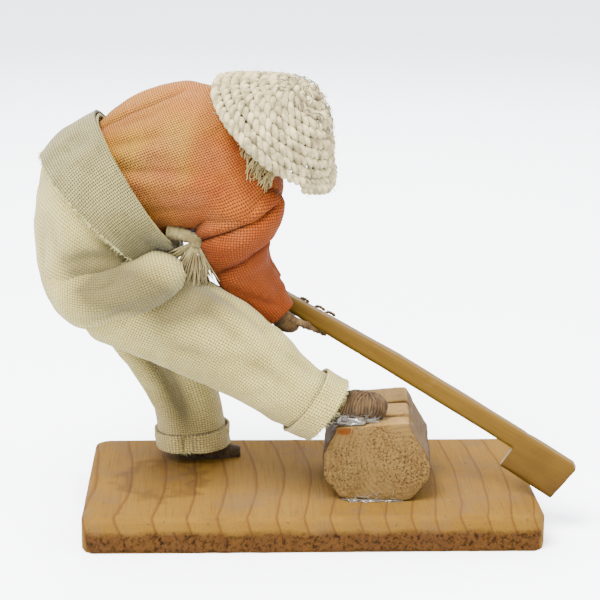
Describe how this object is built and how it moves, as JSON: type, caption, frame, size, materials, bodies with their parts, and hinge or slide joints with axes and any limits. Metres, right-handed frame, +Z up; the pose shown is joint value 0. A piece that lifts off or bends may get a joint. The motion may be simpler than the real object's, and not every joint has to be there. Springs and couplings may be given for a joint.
{
  "type": "woodcutter figurine",
  "caption": "Cloth figure of a bent-over woodcutter on a wooden board, one foot on a log, holding a wooden axe, with a lift-off cord hat.",
  "frame": {"origin": "centre of the board's underside", "axes": "+X along the board towards the axe's head, +Y across the board away from the log's front end, +Z up"},
  "size_m": [0.1935, 0.084, 0.1605],
  "materials": {
    "board_pine": "sanded and stained pine",
    "log_wood": "rough sawn log with bark removed",
    "axe_wood": "pale carved wood",
    "hat_cord": "coiled twisted cotton cord",
    "wire": "plain soft wire",
    "trouser_cotton": "open-weave cream cotton",
    "stuffing": "loose cotton stuffing",
    "sash_cloth": "plain greenish-beige weave",
    "tassel_thread": "loose straw-coloured threads",
    "shirt_cloth": "fine orange weave with faded patches",
    "limb_cord": "brown wound cord",
    "head_cloth": "brown stretched cloth",
    "hair_cord": "frayed cord",
    "glue": "dried clear glue"
  },
  "bodies": {
    "figure": {"base_board": "board_pine", "log": "log_wood", "spine_wire": "wire", "leg_wire_near": "wire", "leg_wire_far": "wire", "arm_wire_near": "wire", "arm_wire_far": "wire", "trouser_seat": "trouser_cotton", "trouser_leg_near": "trouser_cotton", "trouser_leg_far": "trouser_cotton", "cuff_near": "trouser_cotton", "cuff_far": "trouser_cotton", "pelvis_padding": "stuffing", "leg_padding_near": "stuffing", "leg_padding_far": "stuffing", "torso_padding": "stuffing", "waist_sash": "sash_cloth", "sash_tassel": "tassel_thread", "shirt_body": "shirt_cloth", "sleeve_near": "shirt_cloth", "sleeve_far": "shirt_cloth", "arm_wrap_near": "limb_cord", "arm_wrap_far": "limb_cord", "hand_near": "limb_cord", "hand_far": "limb_cord", "foot_near": "limb_cord", "foot_far": "limb_cord", "head": "head_cloth", "hair_fringe": "hair_cord", "log_glue": "glue", "foot_glue": "glue", "waist_glue": "glue"},
    "axe": {"axe": "axe_wood"},
    "hat": {"hat": "hat_cord"}
  },
  "joints": [
    {"name": "hat_lift", "type": "slide", "parent": "figure", "child": "hat", "axis": [0.6212, -0.2971, 0.7252], "range_m": [0, 0.04]},
    {"name": "axe_slide", "type": "slide", "parent": "figure", "child": "axe", "axis": [0.8571, -0.2453, -0.453], "range_m": [0, 0.02]}
  ]
}
